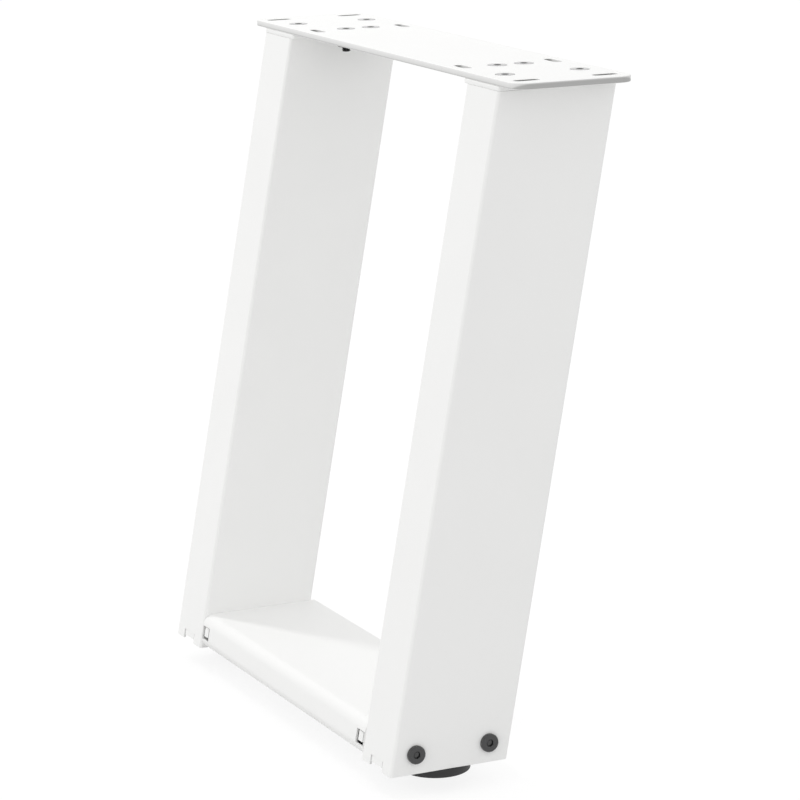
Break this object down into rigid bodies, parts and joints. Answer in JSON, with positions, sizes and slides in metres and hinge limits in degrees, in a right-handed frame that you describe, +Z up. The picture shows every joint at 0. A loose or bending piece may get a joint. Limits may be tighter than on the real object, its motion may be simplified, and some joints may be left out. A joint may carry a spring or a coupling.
{
  "type": "u shaped table leg",
  "caption": "U-shaped table leg: a top plate on two leaning box posts, tied by a crossbar near the floor, with levelling feet.",
  "frame": {"origin": "centre of the top plate's upper face, where the table top rests", "axes": "+X along the top plate, +Y to the side that the posts lean away from, +Z up"},
  "size_m": [0.38, 0.1537, 0.42],
  "materials": {
    "white_coat": "matt white powder coat, fine texture",
    "black_fastener": "black coated steel, satin",
    "zinc_steel": "bright zinc plated",
    "black_plastic": "black polyamide, fine grain"
  },
  "bodies": {
    "frame": {"top_plate": "white_coat", "crossbar": "white_coat", "left_post": "white_coat", "left_post_flange": "white_coat", "left_crossbar_block": "white_coat", "left_foot_plate": "white_coat", "left_plate_screw_1": "black_fastener", "left_flange_nut_1": "black_fastener", "left_plate_screw_2": "black_fastener", "left_flange_nut_2": "black_fastener", "left_plate_screw_3": "black_fastener", "left_flange_nut_3": "black_fastener", "left_plate_screw_4": "black_fastener", "left_flange_nut_4": "black_fastener", "left_crossbar_bolt_front": "black_fastener", "left_crossbar_bolt_rear": "black_fastener", "left_foot_nut": "zinc_steel", "right_post": "white_coat", "right_post_flange": "white_coat", "right_crossbar_block": "white_coat", "right_foot_plate": "white_coat", "right_plate_screw_1": "black_fastener", "right_flange_nut_1": "black_fastener", "right_plate_screw_2": "black_fastener", "right_flange_nut_2": "black_fastener", "right_plate_screw_3": "black_fastener", "right_flange_nut_3": "black_fastener", "right_plate_screw_4": "black_fastener", "right_flange_nut_4": "black_fastener", "right_crossbar_bolt_front": "black_fastener", "right_crossbar_bolt_rear": "black_fastener", "right_foot_nut": "zinc_steel"},
    "left_foot": {"left_foot_stud": "zinc_steel", "left_foot_pad": "black_plastic"},
    "right_foot": {"right_foot_stud": "zinc_steel", "right_foot_pad": "black_plastic"}
  },
  "joints": [
    {"name": "left_foot_height", "type": "slide", "parent": "frame", "child": "left_foot", "axis": [0, 0, -1], "range_m": [0, 0.01]},
    {"name": "right_foot_height", "type": "slide", "parent": "frame", "child": "right_foot", "axis": [0, 0, -1], "range_m": [0, 0.01]}
  ]
}
